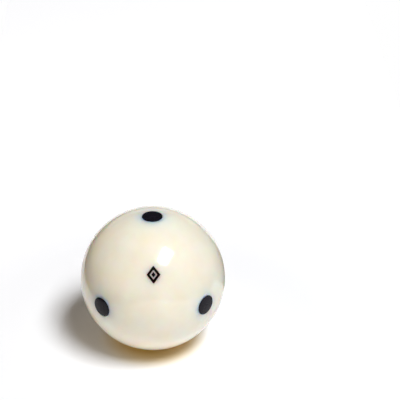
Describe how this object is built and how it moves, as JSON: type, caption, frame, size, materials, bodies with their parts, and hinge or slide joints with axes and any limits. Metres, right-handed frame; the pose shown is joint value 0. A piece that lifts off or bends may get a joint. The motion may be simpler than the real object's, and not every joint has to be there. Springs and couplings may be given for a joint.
{
  "type": "cue ball",
  "caption": "Round ivory-coloured pool cue ball with flush black spots spread evenly over it, so that its spin shows as it rolls.",
  "frame": {"origin": "centre of the ball", "axes": "+Z through the middle of the top dot, -Y through the front dot, +X through the right dot"},
  "size_m": [0.0572, 0.0572, 0.0572],
  "materials": {
    "ivory_resin": "polished",
    "black_resin": "polished"
  },
  "bodies": {
    "root": {"ball_body": "ivory_resin", "top_dot": "black_resin", "bottom_dot": "black_resin", "front_dot": "black_resin", "back_dot": "black_resin", "right_dot": "black_resin", "left_dot": "black_resin", "mark_outline": "black_resin", "mark_centre": "black_resin"}
  },
  "joints": []
}
